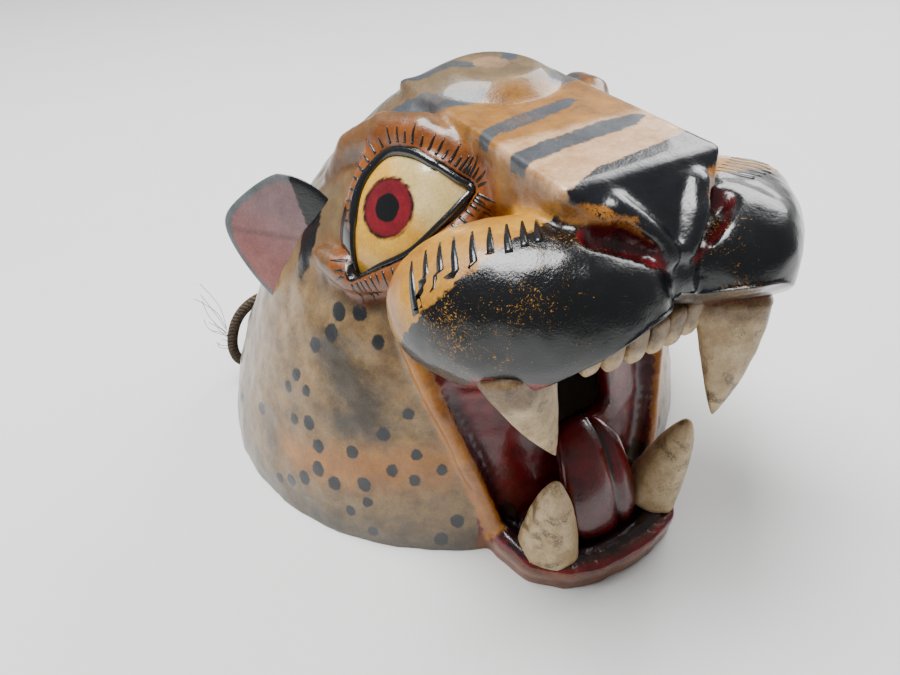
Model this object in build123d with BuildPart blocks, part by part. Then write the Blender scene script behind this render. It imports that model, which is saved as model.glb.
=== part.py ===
"""Carved wooden big cat mask, resting on its rim with the muzzle towards -Y.

Millimetres, +Z up. The origin is on the rim plane, under the middle of the mask's box.
The mask's own right side is -X. The head is one hollowed block. The ears, teeth and tongue
are separate carvings, and a cord knotted inside one wall is led across the hollow to the other.
"""

from build123d import *
import math
import os

# Bell of the head: an upright superellipse whose top is cut flat, hollowed from below.
RIM_HALF_WIDTH = 98.0
RIM_HALF_LENGTH = 92.5
RIM_CENTRE_Y = 12.0
BELL_APEX = 146.0
BELL_POWER = 1.3
BELL_FULLNESS = 1.75
BELL_LEAN = 22.0
CROWN_HEIGHT = 143.0
CROWN_ROUND = 3.0
WALL = 10.0
HOLLOW_TOP = 126.0
BELL_LEVELS = 8

# Flat-topped snout, seen from the side: how far forward and how high each corner stands.
SNOUT_HALF_WIDTH = 24.5
SNOUT_TOP = 138.0
NOSE_TOP_Y = -77.5
NOSE_TIP = (-95.0, 118.0)
LIP_TIP = (-98.0, 109.0)
GUM_EDGE = (-93.0, 97.0)
PALATE_HEIGHT = 92.0

# Muzzle lobes and eye mounds: eggs, each a centre, a long axis, a half length and a radius.
# The carver left the lobe on the mask's left side slimmer and further out than the right one.
EGGS = {
    "lobe_right": ((-31.0, -73.5, 105.0), (-0.72, 0.67, -0.17), 36.5, 22.5),
    "lobe_left": ((38.0, -75.0, 105.0), (0.72, 0.67, -0.17), 37.0, 20.0),
    "eye_right": ((-33.0, -19.0, 106.0), (-0.47, 0.52, -0.71), 28.0, 20.0),
    "eye_left": ((33.0, -19.0, 106.0), (0.47, 0.52, -0.71), 28.0, 20.0),
}
EGG_END_SHARE = 0.98

# Mouth: a shallow recess between two slanting edges, with the throat cut through the wall.
MOUTH_DEPTH = 3.5
MOUTH_HALF_WIDTH_LOW = 34.0
MOUTH_HALF_WIDTH_HIGH = 52.0
MOUTH_HEIGHT = 84.0
THROAT_HALF_WIDTH = 15.0
THROAT_SILL = 45.0
THROAT_TOP = 88.0

# Lower jaw: a tray standing forward of the rim.
JAW_HALF_WIDTH = 37.0
JAW_FRONT_Y = -104.5
JAW_BACK_Y = -66.0
JAW_HEIGHT = 14.0
JAW_FLOOR = 7.0
JAW_LIP = 6.0
JAW_CORNER = 29.0
JAW_RECESS_CORNER = 19.0
MOUTH_WALL_Y = -78.0

# Tusks: base centre, tip and base radius, for the mask's right (-X) and left (+X) sides.
UPPER_CANINES = {
    "right": ((-36.5, -84.0, 86.0), (-30.0, -89.5, 62.0), 11.5),
    "left": ((36.5, -86.0, 88.0), (31.0, -96.0, 54.0), 11.5),
}
LOWER_CANINES = {
    "right": ((-22.5, -87.5, JAW_FLOOR), (-24.0, -88.5, 45.0), 10.0),
    "left": ((22.5, -87.5, JAW_FLOOR), (28.0, -91.0, 47.0), 10.0),
}
TUSK_WAIST = 0.45
TUSK_WAIST_SHARE = 0.68
TUSK_TIP_RADIUS = 1.6
PEG_RADIUS = 3.0
PEG_LENGTH = 5.0
FIT = 0.15

# Row of small upper teeth under the front lip.
INCISOR_COUNT = 6
INCISOR_PITCH = 7.2
INCISOR_WIDTH = 6.6
INCISOR_DEPTH = 5.0
INCISOR_LENGTH = 13.0
INCISOR_TAPER = 0.32
INCISOR_ROOT = 98.0
INCISOR_Y = -89.0
INCISOR_BOW = 0.8

# Tongue, seen from the side.
TONGUE_WIDTH = 23.5
TONGUE_FRONT_Y = -97.5
TONGUE_BACK_Y = -78.4
TONGUE_TOP = 48.0

# Ears: a leaf whose base edge is let into the head, given for the +X side and mirrored.
EAR_BASE = (56.5, 2.0, 89.0)
EAR_OUTWARD = (0.716, 0.689, -0.11)
EAR_UPWARD = (0.10, 0.42, 0.90)
EAR_REACH = 39.0
EAR_HALF_HEIGHT = 23.0
EAR_ROOT_HALF_HEIGHT = 15.0
EAR_THICKNESS = 7.0
EAR_DISH = 3.0
EAR_DISH_RADIUS = 62.0

# Head cord: the route out of one wall, round in a bight, back in and across the hollow.
CORD_RADIUS = 2.25
CORD_HOLE_RADIUS = 2.6
CORD_SIDE = [
    (-75.0, 51.3, 8.0),
    (-84.5, 56.3, 8.6),
    (-87.0, 58.8, 14.5),
    (-85.0, 60.0, 23.5),
    (-80.5, 59.3, 32.5),
    (-73.0, 56.5, 39.5),
    (-61.0, 53.0, 43.0),
    (-44.0, 56.0, 38.0),
    (-17.0, 60.0, 31.0),
]
KNOT_RADIUS = 5.5
KNOT_LENGTH = 9.0
KNOT_ROUND = 2.8


def bell_sections(inset, top):
    """Half width, half length, centre and height of each level of the bell, inset from its face."""
    for level in range(BELL_LEVELS):
        height = top * (1 - (1 - level / (BELL_LEVELS - 1)) ** 1.5)
        share = (1 - (height / (BELL_APEX - inset)) ** BELL_POWER) ** (1 / BELL_FULLNESS)
        half_width = (RIM_HALF_WIDTH - inset) * share
        half_length = (RIM_HALF_LENGTH - inset) * share
        yield half_width, half_length, RIM_CENTRE_Y - BELL_LEAN * (height / BELL_APEX) ** 2, height


def egg(centre, axis, half_length, radius):
    """Ellipse turned about its long axis, with a small flat at each end."""
    long_axis = Vector(*axis).normalized()
    plane = Plane(origin=centre, x_dir=long_axis, z_dir=long_axis.cross(Vector(0, 1, 0)))
    flat = half_length * EGG_END_SHARE
    start = math.degrees(math.acos(EGG_END_SHARE))
    with BuildPart() as solid:
        with BuildSketch(plane):
            with BuildLine():
                side = EllipticalCenterArc((0, 0), half_length, radius, start_angle=start, arc_size=180 - 2 * start)
                Polyline(side @ 1, (-flat, 0), (flat, 0), side @ 0)
            make_face()
        revolve(axis=Axis(centre, long_axis))
    return solid.part


def tusk(base, tip, base_radius, clearance=0.0):
    """Tapering tooth from base to tip, with a peg behind the base; clearance fattens its socket."""
    along = Vector(*tip) - Vector(*base)
    foot = Plane(origin=base, x_dir=along.cross(Vector(0, 1, 0)), z_dir=along)
    with BuildPart() as solid:
        with BuildSketch(foot):
            Circle(base_radius + clearance)
        with BuildSketch(foot.offset(along.length * TUSK_WAIST)):
            Circle(base_radius * TUSK_WAIST_SHARE + clearance)
        with BuildSketch(foot.offset(along.length)):
            Circle(TUSK_TIP_RADIUS)
        loft()
        with BuildSketch(foot):
            Circle(PEG_RADIUS + clearance)
        extrude(amount=-PEG_LENGTH - clearance)
    return solid.part


def cord_line(points):
    """Straight runs joined by tangent arcs as large as the runs allow."""
    corners = [Vector(*point) for point in points]
    radii = []
    for before, corner, after in zip(corners, corners[1:], corners[2:]):
        turn = (corner - before).get_angle(after - corner)
        run = min((corner - before).length, (after - corner).length)
        radii.append(0.45 * run / math.tan(math.radians(turn / 2)))
    print("cord radii", [round(radius, 1) for radius in radii])
    return FilletPolyline(*corners, radius=radii)


def head_cord(radius):
    """Cord from the knot in the right wall, across the hollow, to the knot in the left wall."""
    points = CORD_SIDE + [(-x, y, z) for x, y, z in reversed(CORD_SIDE)]
    with BuildPart() as cord:
        with BuildLine() as path:
            cord_line(points)
        route = path.wires()[0]
        with BuildSketch(Plane(origin=route @ 0, z_dir=route % 0)):
            Circle(radius)
        sweep(path=route)
    straight = math.pi * radius**2 * route.length
    print("cord length", round(route.length, 1), "volume ratio", round(cord.part.volume / straight, 4))
    return cord.part


def knot(centre, neighbour):
    """Rounded knot whose flat end meets the cord's end at centre."""
    inward = Vector(*centre) - Vector(*neighbour)
    with BuildPart() as ball:
        with BuildSketch(Plane(origin=centre, z_dir=inward)):
            Circle(KNOT_RADIUS)
        extrude(amount=KNOT_LENGTH)
        fillet(ball.edges().filter_by(GeomType.CIRCLE), KNOT_ROUND)
    return ball.part


def mouth_recess():
    """Slanting-sided prism in front of the head, down to the mouth's own curved floor."""
    with BuildPart() as recess:
        with BuildSketch(Plane.XZ.offset(30)):
            with BuildLine():
                Polyline((-MOUTH_HALF_WIDTH_LOW, -1), (MOUTH_HALF_WIDTH_LOW, -1),
                         (MOUTH_HALF_WIDTH_HIGH, MOUTH_HEIGHT), (-MOUTH_HALF_WIDTH_HIGH, MOUTH_HEIGHT),
                         close=True)
            make_face()
        extrude(amount=90)
        for half_width, half_length, centre, height in bell_sections(MOUTH_DEPTH, MOUTH_HEIGHT + WALL):
            with BuildSketch(Plane.XY.offset(height)):
                with Locations((0, centre)):
                    Ellipse(half_width, half_length)
        loft(mode=Mode.SUBTRACT)
    return recess.part


def head_block(recess, eggs, sockets):
    """The hollowed head with its snout, lobes, eye mounds, open mouth and jaw."""
    with BuildPart() as head:
        for half_width, half_length, centre, height in bell_sections(0, CROWN_HEIGHT):
            with BuildSketch(Plane.XY.offset(height)):
                with Locations((0, centre)):
                    Ellipse(half_width, half_length)
        loft()
        fillet(head.faces().sort_by(Axis.Z)[-1].edges(), CROWN_ROUND)
        add(recess, mode=Mode.SUBTRACT)
        with BuildSketch(Plane.YZ):
            with BuildLine():
                Polyline((0, SNOUT_TOP), (NOSE_TOP_Y, SNOUT_TOP), NOSE_TIP, LIP_TIP, GUM_EDGE,
                         (NOSE_TOP_Y, PALATE_HEIGHT), (-50, PALATE_HEIGHT), (0, PALATE_HEIGHT + 15),
                         close=True)
            make_face()
        extrude(amount=SNOUT_HALF_WIDTH, both=True)
        with BuildSketch(Plane.XY):
            with Locations((0, (JAW_FRONT_Y + JAW_BACK_Y) / 2)):
                Rectangle(2 * JAW_HALF_WIDTH, JAW_BACK_Y - JAW_FRONT_Y)
            fillet(vertices().group_by(Axis.Y)[0], JAW_CORNER)
        extrude(amount=JAW_HEIGHT)
        with BuildSketch(Plane.XY.offset(JAW_FLOOR)):
            with Locations((0, (JAW_FRONT_Y + JAW_LIP + MOUTH_WALL_Y) / 2)):
                Rectangle(2 * (JAW_HALF_WIDTH - JAW_LIP), MOUTH_WALL_Y - JAW_FRONT_Y - JAW_LIP)
            fillet(vertices().group_by(Axis.Y)[0], JAW_RECESS_CORNER)
        extrude(amount=JAW_HEIGHT, mode=Mode.SUBTRACT)
        for solid in eggs:
            add(solid)
        for half_width, half_length, centre, height in bell_sections(WALL, HOLLOW_TOP):
            with BuildSketch(Plane.XY.offset(height)):
                with Locations((0, centre)):
                    Ellipse(half_width, half_length)
        loft(mode=Mode.SUBTRACT)
        with BuildSketch(Plane.XZ.offset(40)):
            with Locations((0, (THROAT_SILL + THROAT_TOP) / 2)):
                Rectangle(2 * THROAT_HALF_WIDTH, THROAT_TOP - THROAT_SILL)
        extrude(amount=50, mode=Mode.SUBTRACT)
        for socket in sockets:
            add(socket, mode=Mode.SUBTRACT)
    return head.part


def ear(side):
    """Dished leaf, standing out from the head on one side (+1 or -1)."""
    base = Vector(side * EAR_BASE[0], EAR_BASE[1], EAR_BASE[2])
    outward = Vector(side * EAR_OUTWARD[0], EAR_OUTWARD[1], EAR_OUTWARD[2]).normalized()
    upward = Vector(side * EAR_UPWARD[0], EAR_UPWARD[1], EAR_UPWARD[2])
    front = outward.cross(upward).normalized() * side
    plane = Plane(origin=base, x_dir=outward, z_dir=front)
    with BuildPart() as leaf:
        with BuildSketch(plane):
            with BuildLine():
                Spline((0, EAR_ROOT_HALF_HEIGHT), (EAR_REACH * 0.38, EAR_HALF_HEIGHT), (EAR_REACH, 4))
                ThreePointArc((EAR_REACH, 4), (EAR_REACH + 2, 0), (EAR_REACH, -4))
                Spline((EAR_REACH, -4), (EAR_REACH * 0.38, -EAR_HALF_HEIGHT), (0, -EAR_ROOT_HALF_HEIGHT))
                Line((0, -EAR_ROOT_HALF_HEIGHT), (0, EAR_ROOT_HALF_HEIGHT))
            make_face()
        extrude(amount=-EAR_THICKNESS)
        with Locations(plane.from_local_coords((EAR_REACH * 0.45, 0, EAR_DISH_RADIUS - EAR_DISH))):
            Sphere(EAR_DISH_RADIUS, mode=Mode.SUBTRACT)
    return leaf.part


def tongue():
    """Tongue lying from the throat sill down onto the jaw."""
    with BuildPart() as solid:
        with BuildSketch(Plane.YZ):
            with BuildLine():
                Line((TONGUE_FRONT_Y, JAW_FLOOR), (TONGUE_BACK_Y, JAW_FLOOR))
                Line((TONGUE_BACK_Y, JAW_FLOOR), (TONGUE_BACK_Y, TONGUE_TOP - 6))
                Spline((TONGUE_BACK_Y, TONGUE_TOP - 6), (TONGUE_BACK_Y - 8, 33), (TONGUE_FRONT_Y + 3, 16))
                ThreePointArc((TONGUE_FRONT_Y + 3, 16), (TONGUE_FRONT_Y - 0.5, 12), (TONGUE_FRONT_Y, JAW_FLOOR))
            make_face()
        extrude(amount=TONGUE_WIDTH / 2, both=True)
    return solid.part


def incisor(index, clearance=0.0):
    """Small tapered tooth let into the gum under the front lip; clearance fattens its socket."""
    offset = index - (INCISOR_COUNT - 1) / 2
    place = (offset * INCISOR_PITCH, INCISOR_Y + abs(offset) * INCISOR_BOW, INCISOR_ROOT + clearance)
    with BuildPart() as tooth:
        with BuildSketch(Plane(origin=place, z_dir=(0, 0, -1))):
            Ellipse(INCISOR_WIDTH / 2 + clearance, INCISOR_DEPTH / 2 + clearance)
        with BuildSketch(Plane(origin=place, z_dir=(0, 0, -1)).offset(INCISOR_LENGTH)):
            Ellipse(INCISOR_WIDTH * INCISOR_TAPER, INCISOR_DEPTH * INCISOR_TAPER)
        loft()
    return tooth.part


def write(part, name):
    """Label a finished piece and write it under that name."""
    part.label = name
    export_step(part, f"parts/{name}.step")


os.makedirs("parts", exist_ok=True)

pieces = {}
sockets = []
for row, tusks in (("upper", UPPER_CANINES), ("lower", LOWER_CANINES)):
    for side, (base, tip, radius) in tusks.items():
        pieces[f"{row}_canine_{side}"] = tusk(base, tip, radius)
        sockets.append(tusk(base, tip, radius, FIT))
for index in range(INCISOR_COUNT):
    pieces[f"upper_incisor_{index + 1}"] = incisor(index)
    sockets.append(incisor(index, FIT))
pieces["tongue"] = tongue()
for name, side in (("ear_right", -1), ("ear_left", 1)):
    pieces[name] = ear(side)
    sockets.append(pieces[name])
pieces["head_cord"] = head_cord(CORD_RADIUS)
sockets.append(head_cord(CORD_HOLE_RADIUS))
for name, side in (("right", 1), ("left", -1)):
    ends = [(side * x, y, z) for x, y, z in CORD_SIDE[:2]]
    pieces[f"cord_knot_{name}"] = knot(ends[0], ends[1])

eggs = [egg(*shape) for shape in EGGS.values()]
pieces["head_shell"] = head_block(mouth_recess(), eggs, sockets)

for name, piece in pieces.items():
    write(piece, name)
    print(name, piece.is_valid, len(piece.solids()), round(piece.volume))
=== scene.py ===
"""A carved and painted wooden mask of a big cat, standing on its rim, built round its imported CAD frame."""

import logging
import math
from dataclasses import dataclass
from enum import Enum
from typing import Callable, Iterable, Optional, Sequence

import bmesh
import bpy
import numpy as np
from mathutils import Matrix, Vector, noise
from mathutils.bvhtree import BVHTree


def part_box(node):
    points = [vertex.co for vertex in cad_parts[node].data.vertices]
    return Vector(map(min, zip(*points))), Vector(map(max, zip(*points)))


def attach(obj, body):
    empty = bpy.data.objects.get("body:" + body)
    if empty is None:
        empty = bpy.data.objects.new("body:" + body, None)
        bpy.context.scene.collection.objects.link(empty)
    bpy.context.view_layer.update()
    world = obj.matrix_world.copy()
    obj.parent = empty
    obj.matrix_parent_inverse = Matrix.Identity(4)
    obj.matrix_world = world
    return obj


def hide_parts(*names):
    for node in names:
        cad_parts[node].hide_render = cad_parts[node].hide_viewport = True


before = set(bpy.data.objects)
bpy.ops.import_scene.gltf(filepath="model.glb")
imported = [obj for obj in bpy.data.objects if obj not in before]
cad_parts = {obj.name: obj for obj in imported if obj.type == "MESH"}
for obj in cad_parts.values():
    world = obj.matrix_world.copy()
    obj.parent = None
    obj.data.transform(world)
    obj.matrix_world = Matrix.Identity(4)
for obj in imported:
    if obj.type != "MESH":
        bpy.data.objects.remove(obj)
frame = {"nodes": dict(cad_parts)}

LOG = logging.getLogger("cat_mask")
MM = 0.001
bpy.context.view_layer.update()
Point = tuple[float, float, float]


class Side(Enum):
    """The mask's own right and left, as the sign of X."""

    RIGHT = -1
    LEFT = 1

    @property
    def word(self) -> str:
        """Name used in piece and node names."""
        return self.name.lower()


# ---------------------------------------------------------------- small geometry helpers


def smoothstep(low: float, high: float, value: np.ndarray) -> np.ndarray:
    """Smooth ramp from 0 at low to 1 at high.

    Args:
        low: value where the ramp starts.
        high: value where the ramp ends.
        value: numbers to map.

    Returns:
        The ramped numbers, between 0 and 1.
    """
    t = np.clip((value - low) / (high - low), 0.0, 1.0)
    return t * t * (3.0 - 2.0 * t)


def along_line(points: np.ndarray, line: Sequence[Point], radii: Sequence[float]) -> np.ndarray:
    """Signed distance of points to a chain of tapering rods.

    Args:
        points: N by 3 places in millimetres.
        line: corners of the chain.
        radii: the chain's radius at each corner.

    Returns:
        Distance to the chain's skin in millimetres, negative inside it.
    """
    best = np.full(len(points), 1e9)
    for start, end, r0, r1 in zip(line, line[1:], radii, radii[1:]):
        a, b = np.array(start), np.array(end)
        t = np.clip((points - a) @ (b - a) / ((b - a) @ (b - a)), 0.0, 1.0)
        gap = np.linalg.norm(points - (a + t[:, None] * (b - a)), axis=1)
        best = np.minimum(best, gap - (r0 + (r1 - r0) * t))
    return best


def flat_outline(points: np.ndarray, outline: np.ndarray) -> np.ndarray:
    """Signed distance of flat points to a closed outline.

    Args:
        points: N by 2 places.
        outline: M by 2 corners, in order.

    Returns:
        Distance to the outline, negative inside it.
    """
    best = np.full(len(points), 1e9)
    inside = np.zeros(len(points), bool)
    for a, b in zip(outline, np.roll(outline, -1, axis=0)):
        edge = b - a
        t = np.clip((points - a) @ edge / (edge @ edge), 0.0, 1.0)
        best = np.minimum(best, np.linalg.norm(points - (a + t[:, None] * edge), axis=1))
        crosses = (a[1] > points[:, 1]) != (b[1] > points[:, 1])
        reach = a[0] + (points[:, 1] - a[1]) / (edge[1] if edge[1] else 1e-9) * edge[0]
        inside ^= crosses & (points[:, 0] < reach)
    return np.where(inside, -best, best)


def rounded_loop(corners: Sequence[tuple[float, float]], steps: int = 8) -> np.ndarray:
    """Smooth closed curve through a few flat corners.

    Args:
        corners: the places that the curve passes through.
        steps: points laid between one corner and the next.

    Returns:
        The curve's points, in order.
    """
    ring = np.array(corners, float)
    before, after, beyond = np.roll(ring, 1, 0), np.roll(ring, -1, 0), np.roll(ring, -2, 0)
    loop = []
    for p0, p1, p2, p3 in zip(before, ring, after, beyond):
        for t in np.arange(steps) / steps:
            loop.append(0.5 * (2 * p1 + (p2 - p0) * t + (2 * p0 - 5 * p1 + 4 * p2 - p3) * t * t
                               + (3 * p1 - p0 - 3 * p2 + p3) * t ** 3))
    return np.array(loop)


def on(side: Side, points: Sequence[Point]) -> list[Point]:
    """Points given with X as a distance from the middle, taken to one side of the mask."""
    return [(side.value * x, y, z) for x, y, z in points]


def add_globe(bm: bmesh.types.BMesh, shape: Callable[[Vector], Vector], rings: int = 32,
              spokes: int = 48) -> None:
    """Adds a unit ball to a bmesh and moves each of its points to its place.

    Args:
        bm: bmesh that receives the ball.
        shape: gives the place of a point of the unit ball.
        rings: divisions from pole to pole.
        spokes: divisions round the poles.
    """
    made = bmesh.ops.create_uvsphere(bm, u_segments=spokes, v_segments=rings, radius=1.0)
    for vert in made["verts"]:
        vert.co = shape(vert.co.copy())


def add_hull(bm: bmesh.types.BMesh, corners: Iterable[Point]) -> None:
    """Adds the solid block that a few corners span."""
    verts = [bm.verts.new(corner) for corner in corners]
    made = bmesh.ops.convex_hull(bm, input=verts)
    spare = [item for item in made["geom_interior"] if isinstance(item, bmesh.types.BMVert)]
    bmesh.ops.delete(bm, geom=spare, context="VERTS")


def add_rod(bm: bmesh.types.BMesh, line: Sequence[Point], radii: Sequence[float]) -> None:
    """Adds a chain of tapering rods with a ball at each corner."""
    for corner, radius in zip(line, radii):
        bmesh.ops.create_icosphere(bm, subdivisions=3, radius=radius, matrix=Matrix.Translation(corner))
    for start, end, r0, r1 in zip(line, line[1:], radii, radii[1:]):
        a, b = Vector(start), Vector(end)
        turn = (b - a).to_track_quat("Z", "Y").to_matrix().to_4x4()
        bmesh.ops.create_cone(bm, cap_ends=True, segments=24, radius1=r0, radius2=r1,
                              depth=(b - a).length, matrix=Matrix.Translation((a + b) / 2) @ turn)


def finished(bm: bmesh.types.BMesh, name: str) -> bpy.types.Object:
    """Turns a bmesh in millimetres into an object in metres.

    Args:
        bm: the modelled piece, which is freed.
        name: the piece's name.

    Returns:
        The new object, at the origin.
    """
    if bm.calc_volume(signed=True) < 0.0:
        bmesh.ops.reverse_faces(bm, faces=bm.faces)
    bmesh.ops.scale(bm, vec=(MM, MM, MM), verts=bm.verts)
    for face in bm.faces:
        face.smooth = True
    mesh = bpy.data.meshes.new(name)
    bm.to_mesh(mesh)
    bm.free()
    return put(name, mesh)


def put(name: str, data: bpy.types.ID) -> bpy.types.Object:
    """Makes an object of its data and links it to the scene."""
    piece = bpy.data.objects.new(name, data)
    bpy.context.scene.collection.objects.link(piece)
    return piece


def places(mesh: bpy.types.Mesh) -> np.ndarray:
    """All the points of a mesh, as an N by 3 array."""
    flat = np.empty(len(mesh.vertices) * 3)
    mesh.vertices.foreach_get("co", flat)
    return flat.reshape(-1, 3)


def outward(mesh: bpy.types.Mesh) -> np.ndarray:
    """The normal at each point of a mesh, as an N by 3 array."""
    flat = np.empty(len(mesh.vertices) * 3)
    mesh.vertices.foreach_get("normal", flat)
    return flat.reshape(-1, 3)


def store(mesh: bpy.types.Mesh, name: str, values: np.ndarray) -> None:
    """Keeps one number per point on the mesh, for its material to read."""
    layer = mesh.attributes.new(name, "FLOAT", "POINT")
    layer.data.foreach_set("value", values.astype(np.float32))


def baked(piece: bpy.types.Object) -> bpy.types.Object:
    """Replaces a piece's mesh by what its modifiers make of it, and drops them."""
    graph = bpy.context.evaluated_depsgraph_get()
    old = piece.data
    piece.data = bpy.data.meshes.new_from_object(piece.evaluated_get(graph))
    piece.modifiers.clear()
    bpy.data.meshes.remove(old)
    return piece


# ---------------------------------------------------------------- finishes


def linear(colour: str) -> tuple[float, float, float, float]:
    """Linear colour of an sRGB hex value such as "#8a6a4c"."""
    parts = [int(colour[i:i + 2], 16) / 255.0 for i in (1, 3, 5)]
    return (*[c / 12.92 if c <= 0.04045 else ((c + 0.055) / 1.055) ** 2.4 for c in parts], 1.0)


def add(tree: bpy.types.NodeTree, kind: str, inputs: Optional[dict] = None, **settings) -> bpy.types.Node:
    """Adds a node, with its settings, its plain values and its links.

    Args:
        tree: node tree that receives the node.
        kind: Blender's name of the node.
        inputs: what goes into each socket, a value or another node's output.
        settings: attributes of the node itself.

    Returns:
        The node.
    """
    node = tree.nodes.new(kind)
    for key, value in settings.items():
        setattr(node, key, value)
    for key, value in (inputs or {}).items():
        if isinstance(value, bpy.types.NodeSocket):
            tree.links.new(value, node.inputs[key])
        else:
            node.inputs[key].default_value = value
    return node


def blank(name: str) -> tuple[bpy.types.Material, bpy.types.NodeTree]:
    """Starts a material whose node tree is empty."""
    material = bpy.data.materials.new(name)
    material.use_nodes = True
    material.node_tree.nodes.clear()
    return material, material.node_tree


def per_mm(size: float) -> float:
    """Texture scale that gives features of a size in millimetres."""
    return 1.0 / (size * MM)


@dataclass(frozen=True)
class Coat:
    """One brushed coat, laid where its field's signed distance in millimetres is negative."""

    field: str
    light: str
    dark: str
    edge: float = 0.3
    wobble: float = 0.7
    worn: float = 0.0
    roughness: float = 0.34
    strength: float = 1.0


@dataclass(frozen=True)
class PaintedWood:
    """Enamel brushed in coats on carved softwood and varnished over.

    The eye sees mottled brushwork, edges that waver, flecks rubbed through to the coat below
    and a wet shine on the carved humps.
    """

    name: str
    light: str
    dark: str
    coats: tuple[Coat, ...] = ()
    roughness: float = 0.42
    mottle: float = 9.0
    fleck: float = 0.9
    grain: float = 0.7
    dent: float = 0.3
    varnish: float = 0.35

    def build(self) -> bpy.types.Material:
        """Makes the material.

        Returns:
            The material, reading Object coordinates and the piece's own fields.
        """
        material, tree = blank(self.name)
        place = add(tree, "ShaderNodeTexCoord").outputs["Object"]
        patches = add(tree, "ShaderNodeTexNoise", {"Vector": place, "Scale": per_mm(self.mottle),
                                                   "Detail": 7.0,
                                                   "Roughness": 0.66}).outputs["Fac"]
        wander = add(tree, "ShaderNodeTexNoise", {"Vector": place, "Scale": per_mm(3.2), "Detail": 4.0,
                                                  "Roughness": 0.62}).outputs["Fac"]
        grain = add(tree, "ShaderNodeTexNoise", {"Vector": place, "Scale": per_mm(self.grain), "Detail": 3.0,
                                                 "Roughness": 0.6}).outputs["Fac"]
        flecks = self.flecks(tree, place)
        spread = add(tree, "ShaderNodeMapRange", {"Value": patches, "From Min": 0.34,
                                                  "From Max": 0.66}).outputs[0]
        colour = add(tree, "ShaderNodeMix", {0: spread, 6: linear(self.dark), 7: linear(self.light)},
                     data_type="RGBA").outputs[2]
        shine = add(tree, "ShaderNodeMapRange", {"Value": grain, "To Min": self.roughness - 0.08,
                                                 "To Max": self.roughness + 0.1}).outputs[0]
        for coat in self.coats:
            mask = self.cover(tree, coat, wander, flecks)
            tone = add(tree, "ShaderNodeMix", {0: spread, 6: linear(coat.dark), 7: linear(coat.light)},
                       data_type="RGBA").outputs[2]
            colour = add(tree, "ShaderNodeMix", {0: mask, 6: colour, 7: tone}, data_type="RGBA").outputs[2]
            shine = add(tree, "ShaderNodeMapRange", {"Value": mask, "To Min": shine,
                                                     "To Max": coat.roughness}).outputs[0]
        speck = add(tree, "ShaderNodeMapRange", {"Value": grain, "From Min": 0.25, "From Max": 0.75,
                                                 "To Min": 0.8, "To Max": 1.18}).outputs[0]
        toned = add(tree, "ShaderNodeVectorMath", {0: colour, "Scale": speck}, operation="SCALE").outputs[0]
        relief = add(tree, "ShaderNodeMath", {0: grain, 1: wander}, operation="ADD").outputs[0]
        bump = add(tree, "ShaderNodeBump", {"Height": relief, "Strength": self.dent,
                                            "Distance": 0.4 * MM}).outputs[0]
        surface = add(tree, "ShaderNodeBsdfPrincipled", {
            "Base Color": toned, "Roughness": shine, "Normal": bump, "Coat Weight": self.varnish,
            "Coat Roughness": 0.08, "Coat IOR": 1.5, "IOR": 1.5})
        add(tree, "ShaderNodeOutputMaterial", {"Surface": surface.outputs[0]})
        return material

    def flecks(self, tree: bpy.types.NodeTree, place: bpy.types.NodeSocket) -> bpy.types.NodeSocket:
        """Noise that rises in small flecks, gathered in patches, for rubbed paint.

        Args:
            tree: the material's nodes.
            place: Object coordinates.

        Returns:
            A number that is high in the flecks.
        """
        fine = add(tree, "ShaderNodeTexNoise", {"Vector": place, "Scale": per_mm(self.fleck), "Detail": 4.0,
                                                "Roughness": 0.7, "Distortion": 1.6}).outputs["Fac"]
        broad = add(tree, "ShaderNodeTexNoise", {"Vector": place, "Scale": per_mm(24.0),
                                                 "Detail": 3.0}).outputs["Fac"]
        lift = add(tree, "ShaderNodeMapRange", {"Value": broad, "From Min": 0.38, "From Max": 0.66,
                                                "To Min": -0.12, "To Max": 0.10}).outputs[0]
        return add(tree, "ShaderNodeMath", {0: fine, 1: lift}, operation="ADD").outputs[0]

    def cover(self, tree: bpy.types.NodeTree, coat: Coat, wander: bpy.types.NodeSocket,
              flecks: bpy.types.NodeSocket) -> bpy.types.NodeSocket:
        """How much of a coat lies at each place.

        Args:
            tree: the material's nodes.
            coat: the coat.
            wander: noise that moves the coat's edge.
            flecks: noise that rubs it through.

        Returns:
            A number from 0, bare, to 1, covered.
        """
        field = add(tree, "ShaderNodeAttribute", attribute_name=coat.field).outputs["Fac"]
        shift = add(tree, "ShaderNodeMapRange", {"Value": wander, "From Min": 0.25, "From Max": 0.75,
                                                 "To Min": -coat.wobble, "To Max": coat.wobble}).outputs[0]
        edge = add(tree, "ShaderNodeMath", {0: field, 1: shift}, operation="ADD").outputs[0]
        mask = add(tree, "ShaderNodeMapRange", {"Value": edge, "From Min": coat.edge, "From Max": -coat.edge,
                                                "To Max": coat.strength},
                   interpolation_type="SMOOTHSTEP").outputs[0]
        if not coat.worn:
            return mask
        kept = add(tree, "ShaderNodeMapRange", {"Value": flecks, "From Min": 0.70 - coat.worn,
                                                "From Max": 0.66 - coat.worn}).outputs[0]
        return add(tree, "ShaderNodeMath", {0: mask, 1: kept}, operation="MULTIPLY").outputs[0]


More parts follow.
